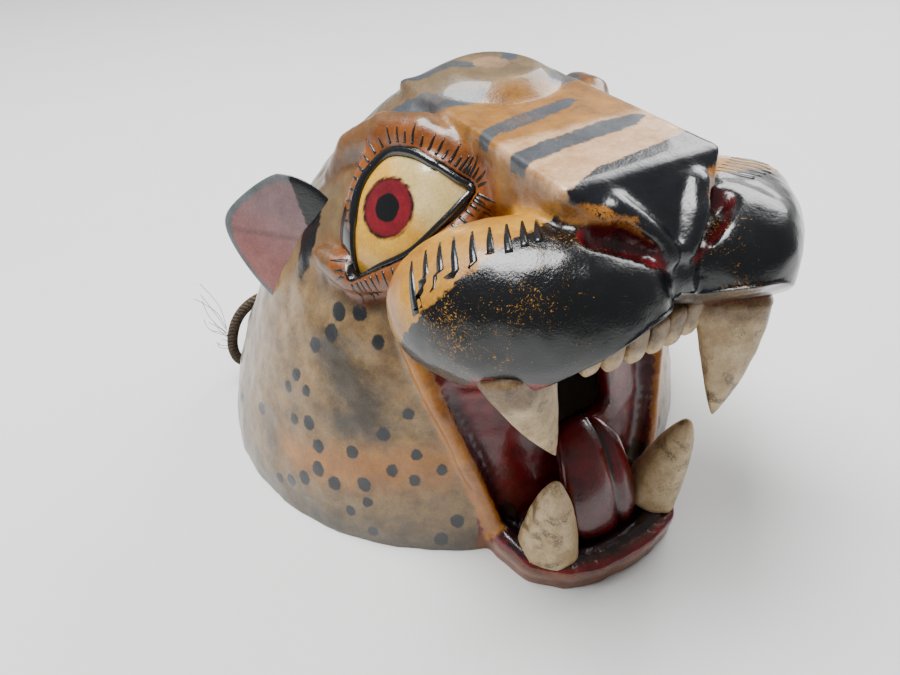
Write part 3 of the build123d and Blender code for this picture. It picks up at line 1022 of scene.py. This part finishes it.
        coats["spots"] = np.min([np.linalg.norm((folded - np.array(on(Side.RIGHT, [p])[0])) * (1.0, 1.0,
                                                                                               0.85), axis=1)
                                 - (2.3 + 0.45 * math.sin(7.0 * i)) for i, p in enumerate(self.spots)],
                                 axis=0)
        almond = np.minimum.reduce([eye.spread(points) for eye in self.eyes()])
        coats["ring"] = almond - 9.0
        coats["ear_seat"] = line([(57, 10, 107), (61, 3, 89), (66, -3, 72)], (3.5, 5.0, 3.5))
        coats["liner"] = almond - 1.9
        lobe = np.minimum.reduce([egg.gap(points) for egg in self.lobes])
        base, lean = np.array(on(Side.RIGHT, self.bed_plane))
        above = (folded - base) @ lean
        coats["bed"] = np.maximum(lobe - 2.2, 84.0 - z)
        coats["lobe"] = np.maximum.reduce([lobe - 1.9, above, 80.0 - z])
        cap = top_outline([(-30, -80), (-24, -78), (-11, -72), (4, -70.2), (20, -67.5), (30, -64), (30, -100),
                           (-30, -100)])
        front = np.maximum.reduce([y + 77.0, 120.0 - z, (np.abs(x) - 3.0) - (z - 116.0) * 1.02])
        bridge = np.maximum.reduce([np.abs(x) - 6.5, y + 86.0, np.abs(z - 110.0) - 14.0])
        coats["nose"] = np.minimum.reduce([cap, front, bridge])
        coats["band"] = line(self.band_coat, (2.4, 2.6, 2.0, 1.0))
        coats["nostril"] = line(self.nostril_coat, (3.6, 4.2, 3.4, 2.0))
        mouth = self.mouth_gap(points)
        seen = np.minimum(mouth, np.where((z < 94.0) & (y < -58.0) & (np.abs(x) < 40.0), -1.0, 9.0))
        under = np.maximum.reduce([z - 93.0, np.abs(x) - 44.0, y + 20.0, (away[:, 2] + 0.35) * 12.0])
        gum = line([(0, -94.5, 97), (12, -93, 96), (24, -92, 92), (36, -89, 88)], (2.6, 2.6, 3.4, 3.0))
        raw = np.minimum(self.bell_gap(points, self.wall) - 1.6, z - 0.4)
        lips = line([(x0, y0 + 1.8, 10.5) for x0, y0, _ in self.lip_line], (6.2,) * 6)
        floor = np.maximum.reduce([z - 9.5, np.abs(x) - 26.0, y + 55.0, -y - 92.0])
        jaw = line([(x0 * 1.12, y0 - 3.8, 1.6) for x0, y0, _ in self.lip_line], (7.2,) * 6)
        coats["mouth"] = np.minimum.reduce([seen, under, gum])
        coats["fold"] = np.minimum(line(self.fold_coat, (3.0, 3.5, 3.0)), floor + 2.0)
        coats["jaw"] = np.maximum(jaw, y + 55.0)
        coats["lip"] = np.maximum(np.minimum(lips, floor), y + 55.0)
        coats["edge"] = np.maximum(line(self.cheek_line, (6.6, 5.6, 4.6, 4.0, 3.4)), -(mouth + 1.2))
        coats["raw"] = np.where(self.bell_gap(points, self.wall) < 2.0, raw, np.maximum(z - 0.4, 0.0) + 1.0)
        for name, values in coats.items():
            store(mesh, name, values)

    def build(self) -> bpy.types.Object:
        """Makes, hollows, carves and paints the head.

        Returns:
            The head.
        """
        bm = bmesh.new()
        self.swell(bm)
        bmesh.ops.recalc_face_normals(bm, faces=bm.faces)
        head = finished(bm, "painted_head")
        skin = head.modifiers.new("one_skin", "REMESH")
        skin.mode, skin.voxel_size = "VOXEL", self.voxel * MM
        soft = head.modifiers.new("rubbed_down", "SMOOTH")
        soft.factor, soft.iterations = 0.5, 3
        baked(head)
        self.gouge(head.data)
        cutters = self.cutters()
        for cutter in cutters:
            cut = head.modifiers.new(cutter.name, "BOOLEAN")
            cut.operation, cut.object, cut.solver = "DIFFERENCE", cutter, "MANIFOLD"
        baked(head)
        for cutter in cutters:
            bpy.data.objects.remove(cutter)
        head.data.polygons.foreach_set("use_smooth", [True] * len(head.data.polygons))
        self.fields(head.data)
        return dress(head, HEAD_PAINT.build(), "head_paint", "head_shell")


@dataclass
class Brush:
    """Lays painted strokes on the head as thin ribbons that follow its skin."""

    skin: BVHTree
    lift: float = 0.1

    def stroke(self, bm: bmesh.types.BMesh, start: Vector, end: Vector, widths: tuple[float, float, float],
               facing: Vector) -> None:
        """Adds one tapering stroke.

        Args:
            bm: bmesh that receives it.
            start: where the brush lands, in millimetres.
            end: where it lifts off.
            widths: half widths at its start, middle and end.
            facing: rough direction that the skin faces there.
        """
        made = bmesh.ops.create_grid(bm, x_segments=2, y_segments=7, size=1.0)
        side = (end - start).cross(facing).normalized()
        for vert in made["verts"]:
            share = (vert.co.y + 1.0) / 2.0
            half = np.interp(share, (0.0, 0.45, 1.0), widths)
            want = start.lerp(end, share) + side * (vert.co.x * float(half))
            hit = self.skin.ray_cast((want + facing * 14.0) * MM, -facing, 30.0 * MM)
            if hit[0] is None or (hit[0] / MM - want).length > 7.0:
                hit = self.skin.find_nearest(want * MM)
            vert.co = hit[0] / MM + hit[1] * self.lift

    def lashes(self, eye: EyeFrame, bm: bmesh.types.BMesh) -> None:
        """Adds the short strokes round one eye."""
        inner = eye.rim(2.6, lambda u, v: 0.0)
        outer = eye.rim(8.6, lambda u, v: 0.0)
        for number in range(0, len(inner), 2):
            start, end = inner[number], outer[number]
            wave = 0.75 + 0.25 * math.sin(number * 1.9)
            self.stroke(bm, start, start.lerp(end, wave), (0.42, 0.38, 0.12), eye.out)

    def whiskers(self, side: Side, bm: bmesh.types.BMesh) -> None:
        """Adds the row of strokes on one lip, from its black edge up over the gold."""
        tops = on(side, [(54, -57, 116), (50, -57.5, 118), (47, -59, 120.5), (44.5, -61.5, 122.5),
                         (41, -64, 124.5),
                         (37.5, -66, 126), (34, -68, 127), (30.5, -69.5, 127.5), (27.5, -71, 128)])
        drop = Vector((side.value * 3.5, -10.5, -10.0))
        for number, top in enumerate(tops):
            share = 1.0 - 0.05 * number
            end = Vector(top) + Vector((6.0, -1.5, 0.0)) * (side is Side.LEFT)
            self.stroke(bm, end + drop * share, end, (1.0, 0.9, 0.25),
                        Vector((side.value * 0.45, -0.35, 0.8)).normalized())

    def build(self) -> None:
        """Makes the eyelashes and the whisker strokes as two pieces."""
        paint = STROKE_PAINT.build()
        for name, job in (("lash_strokes", lambda bm: [self.lashes(EyeFrame(side), bm) for side in Side]),
                          ("whisker_strokes", lambda bm: [self.whiskers(side, bm) for side in Side])):
            bm = bmesh.new()
            job(bm)
            piece = finished(bm, name)
            body = piece.modifiers.new("paint_body", "SOLIDIFY")
            body.thickness, body.offset = 0.08 * MM, -1.0
            dress(piece, paint, "head_paint")


# ---------------------------------------------------------------- eyes, ears, tongue and teeth


@dataclass
class Eye:
    """One painted eyeball with the gloss bead of its lids."""

    frame: EyeFrame
    wide: float = 25.0
    tall: float = 19.5
    deep: float = 8.5
    sunk: float = 4.6
    iris: float = 8.6
    pupil: float = 4.1
    bead: float = 1.25

    def bulge(self, u: float, v: float) -> float:
        """Height of the ball above the eye's plane at a place on it."""
        rest = 1.0 - (u / self.wide) ** 2 - (v / self.tall) ** 2
        return self.deep * math.sqrt(max(rest, 0.0)) - self.sunk

    def ball(self) -> bpy.types.Object:
        """Makes the ball and stores where its iris, pupil and lids are painted."""
        bm = bmesh.new()
        add_globe(bm, lambda unit: self.frame.place(unit.x * self.wide, unit.y * self.tall,
                                                    unit.z * self.deep - self.sunk), rings=56, spokes=72)
        piece = finished(bm, f"eye_{self.frame.side.word}")
        points = places(piece.data) / MM
        flat = self.frame.flat(points)
        centre = np.linalg.norm(flat - np.array(self.frame.iris_at), axis=1)
        store(piece.data, "yolk", -(flat[:, 0] + 7.0))
        store(piece.data, "iris", centre - self.iris)
        store(piece.data, "iris_rim", np.abs(centre - self.iris) - 0.55)
        store(piece.data, "pupil", centre - self.pupil)
        store(piece.data, "lid", -flat_outline(flat, self.frame.loop))
        return piece

    def lids(self) -> bpy.types.Object:
        """Makes the bead of gloss black that runs round the almond."""
        ring = self.frame.rim(0.4, lambda u, v: max(self.bulge(u, v), -2.2) + 0.2)
        bm = bmesh.new()
        loops = []
        for number, spot in enumerate(ring):
            ahead = (ring[(number + 1) % len(ring)] - ring[number - 1]).to_track_quat("Z", "Y")
            thick = self.bead * (1.25 if (spot - self.frame.centre).dot(self.frame.up) > 4.0 else 0.9)
            made = bmesh.ops.create_circle(bm, segments=10, radius=thick,
                                           matrix=Matrix.Translation(spot) @ ahead.to_matrix().to_4x4())
            loops.append([edge for edge in bm.edges if all(v in made["verts"] for v in edge.verts)])
        for one, two in zip(loops, loops[1:] + loops[:1]):
            bmesh.ops.bridge_loops(bm, edges=one + two)
        bmesh.ops.recalc_face_normals(bm, faces=bm.faces)
        return finished(bm, f"eyelids_{self.frame.side.word}")

    def build(self, ball_paint: bpy.types.Material, lid_paint: bpy.types.Material) -> None:
        """Makes and dresses the ball and its lids."""
        dress(self.ball(), ball_paint, "head_paint")
        dress(self.lids(), lid_paint, "head_paint")


@dataclass
class Ear:
    """One leaf-shaped ear, dished in front, let into the side of the head."""

    side: Side
    base: Point = (56.5, 2.0, 89.0)
    outward: Point = (0.716, 0.689, -0.11)
    upward: Point = (0.10, 0.42, 0.90)
    reach: float = 38.5
    embed: float = 9.0
    half_height: float = 23.0
    thickness: float = 6.4
    dish: float = 3.4
    rim: float = 2.6

    def build(self, paint: bpy.types.Material) -> None:
        """Makes, paints and dresses the ear."""
        base = Vector(on(self.side, [self.base])[0])
        along = Vector(on(self.side, [self.outward])[0]).normalized()
        up = Vector(on(self.side, [self.upward])[0])
        up = (up - along * up.dot(along)).normalized()
        face = along.cross(up).normalized()
        face = -face if face.y > 0 else face

        def shape(unit: Vector) -> Vector:
            """Place of a point of the ear."""
            share = (unit.x + 1.0) / 2.0
            lean = 1.0 - 0.42 * max(unit.x, 0.0) ** 1.2
            height = unit.y * self.half_height * 1.06 * lean + 6.0 * max(unit.x, 0.0) ** 2
            spread = min(1.0, unit.x ** 2 + unit.y ** 2)
            depth = unit.z * self.thickness / 2 * (0.75 + 0.25 * spread)
            if unit.z > 0:
                depth -= self.dish * (1.0 - spread) ** 0.8
            bend = -2.5 * share * share
            return (base + along * (share * (self.reach + self.embed) - self.embed)
                    + up * height + face * (depth + bend))

        bm = bmesh.new()
        add_globe(bm, shape, rings=56, spokes=72)
        piece = finished(bm, f"ear_{self.side.word}_painted")
        points = places(piece.data) / MM
        gap = points - np.array(base)
        length, height = gap @ np.array(along), gap @ np.array(up)
        x = np.clip((length + self.embed) / (self.reach + self.embed) * 2.0 - 1.0, -1.0, 1.0)
        lean = 1.0 - 0.42 * np.maximum(x, 0.0) ** 1.2
        y = (height - 6.0 * np.maximum(x, 0.0) ** 2) / (self.half_height * 1.06 * lean)
        inside = (1.0 - np.sqrt(np.clip(x * x + y * y, 0.0, 1.0))) * self.half_height
        facing = outward(piece.data) @ np.array(face)
        store(piece.data, "rim", np.where(facing > 0.0, inside - self.rim, -2.0))
        store(piece.data, "blush", 4.0 - (height * -0.55 + length * 0.35))
        # Painted shade along the middle of the ear's front, where a groove would lie.
        store(piece.data, "crease_shade", np.abs(height - 1.0 - 0.12 * length) - 0.7 + np.where(facing > 0, 0.0,
                                                                                          9.0))
        store(piece.data, "root", np.maximum(length - 4.5 - 3.0 * np.abs(height) / 12.0, -20.0))
        store(piece.data, "spot", np.hypot(length - 6.0, height + 17.0) - 3.5)
        dress(piece, paint, "ear_paint", f"ear_{self.side.word}")


@dataclass
class Tusk:
    """One whittled tusk: a flattened cone with knife facets, bowed a little and blunt at its tip."""

    name: str
    base: Point
    tip: Point
    radius: float
    bow: Point = (0.0, 0.0, 0.0)
    flat: float = 0.9
    facets: int = 7
    inset: float = 5.0
    blunt: float = 0.75

    def build(self, paint: bpy.types.Material) -> None:
        """Makes, paints and dresses the tusk."""
        base, tip, bow = Vector(self.base), Vector(self.tip), Vector(self.bow)
        axis = (tip - base).normalized()
        start = base - axis * self.inset
        turn = axis.to_track_quat("Z", "Y").to_matrix()
        length = (tip - start).length

        def shape(unit: Vector) -> Vector:
            """Place of a point of the tusk."""
            share = (unit.z + 1.0) / 2.0
            round_part = math.hypot(unit.x, unit.y)
            angle = math.atan2(unit.y, unit.x)
            body = max(0.0, 1.0 - share ** 1.25) ** self.blunt * min(1.0, 7.0 * share) ** 0.5
            cut = 1.0 - 0.055 * abs(math.sin(angle * self.facets / 2.0 + 2.2 * share))
            knife = 1.0 + 0.035 * noise.noise(Vector((math.cos(angle), math.sin(angle), share * 3.0)) * 2.6)
            half = self.radius * 1.06 * body * cut * knife * min(1.0, round_part * 60.0)
            local = turn @ Vector((math.cos(angle) * half, math.sin(angle) * half * self.flat, 0.0))
            return start + axis * (share * length) + local + bow * math.sin(share * math.pi)

        bm = bmesh.new()
        add_globe(bm, shape, rings=44, spokes=42)
        piece = finished(bm, f"{self.name}_whittled")
        points = places(piece.data) / MM
        share = (points - np.array(start)) @ np.array(axis)
        store(piece.data, "gum", share - self.inset - 2.5)
        rough = np.array([noise.noise(Vector(p) / 3.4) for p in points])
        store(piece.data, "dirt", rough * -9.0 + 1.5)
        dress(piece, paint, "tooth_bone", self.name)


@dataclass
class FrontTeeth:
    """Six small scalloped teeth under the front of the lip."""

    count: int = 6

    def build(self, paint: bpy.types.Material) -> None:
        """Makes, paints and dresses each tooth in the box of its CAD node."""
        for number in range(1, self.count + 1):
            node = f"upper_incisor_{number}"
            low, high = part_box(node)
            middle, half = (low + high) / 2 / MM, (high - low) / 2 / MM

            def shape(unit: Vector, middle: Vector = middle, half: Vector = half,
                      turn: int = number) -> Vector:
                """Place of a point of the tooth."""
                pull = Vector([math.copysign(abs(c) ** 0.62, c) for c in unit])
                slim = 1.0 + 0.10 * unit.z
                wave = 0.5 * math.sin(turn * 2.1)
                return middle + Vector((pull.x * half.x * slim * 1.02, pull.y * half.y * (1.0 + 0.1 * unit.z),
                                        pull.z * half.z + wave * (1.0 - unit.z) / 2))

            bm = bmesh.new()
            add_globe(bm, shape, rings=20, spokes=24)
            piece = finished(bm, f"{node}_whittled")
            points = places(piece.data) / MM
            store(piece.data, "gum", middle.z - points[:, 2] - 1.0)
            rough = np.array([noise.noise(Vector(p) / 2.4) for p in points])
            store(piece.data, "dirt", rough * -9.0 + 1.0)
            dress(piece, paint, "tooth_bone", node)


@dataclass
class Tongue:
    """Swollen tongue that comes down out of the throat on to the jaw, creased on one side."""

    half_width: float = 11.6
    spine: tuple[tuple[float, float], ...] = ((-70.0, 42.0), (-79.0, 36.0), (-86.0, 26.0), (-91.5, 15.0),
                                              (-95.0, 8.5))
    thick: float = 5.0
    crease_at: float = 4.5

    def build(self, paint: bpy.types.Material) -> None:
        """Makes, paints and dresses the tongue."""
        stations = np.linspace(0.0, 1.0, len(self.spine))

        def shape(unit: Vector) -> Vector:
            """Place of a point of the tongue."""
            pull = Vector([math.copysign(abs(c) ** 0.68, c) for c in unit])
            share = (1.0 - pull.z) / 2.0
            y = float(np.interp(share, stations, [s[0] for s in self.spine]))
            z = float(np.interp(share, stations, [s[1] for s in self.spine]))
            x = pull.x * self.half_width * (1.05 + 0.22 * share)
            groove = 2.0 * math.exp(-((x - self.crease_at) / 1.6) ** 2) if pull.y < 0 else 0.0
            push = -pull.y * self.thick - groove
            return Vector((x, y - push * 0.80 + 3.2, z + push * 0.42 - 1.5))

        bm = bmesh.new()
        add_globe(bm, shape, rings=48, spokes=56)
        piece = finished(bm, "tongue_painted")
        points = places(piece.data) / MM
        # Nearly black painted shade along the carved groove.
        store(piece.data, "crease_shade", np.abs(points[:, 0] - self.crease_at) - 0.9)
        dress(piece, paint, "tongue_paint", "tongue")


TUSKS = (
    Tusk("upper_canine_right", (-35.0, -81.0, 89), (-28, -90.5, 61.5), 16.0, bow=(-1.0, -1.0, 0.0), flat=0.68,
         inset=13.0, blunt=0.9),
    Tusk("upper_canine_left", (36.5, -86, 88), (31, -96, 52.5), 12.8, bow=(1.0, -1.0, 0.0), flat=0.78,
         facets=6,
         inset=9.0, blunt=0.8),
    Tusk("lower_canine_right", (-22.5, -87.5, 7), (-24, -88.5, 45), 10.8, inset=2.5, blunt=0.62),
    Tusk("lower_canine_left", (22.5, -87.5, 7), (28, -91, 47), 10.8, inset=2.5, facets=5, blunt=0.55),
)


def main() -> None:
    """Builds the mask in order: stage and cord, head and its paint, then eyes, ears, tongue and teeth."""
    logging.basicConfig(level=logging.INFO, format="%(message)s")
    stage = Stage()
    stage.camera()
    HeadCord().build()
    stage.light()
    head = Head().build()
    Brush(BVHTree.FromObject(head, bpy.context.evaluated_depsgraph_get())).build()
    ball_paint, lid_paint = EYE_PAINT.build(), LID_PAINT.build()
    ear_paint, tooth_paint = EAR_PAINT.build(), TOOTH_PAINT.build()
    for side in Side:
        Eye(EyeFrame(side)).build(ball_paint, lid_paint)
        Ear(side).build(ear_paint)
    Tongue().build(TONGUE_PAINT.build())
    for tusk in TUSKS:
        tusk.build(tooth_paint)
    FrontTeeth().build(tooth_paint)


if __name__ == "__main__":
    main()
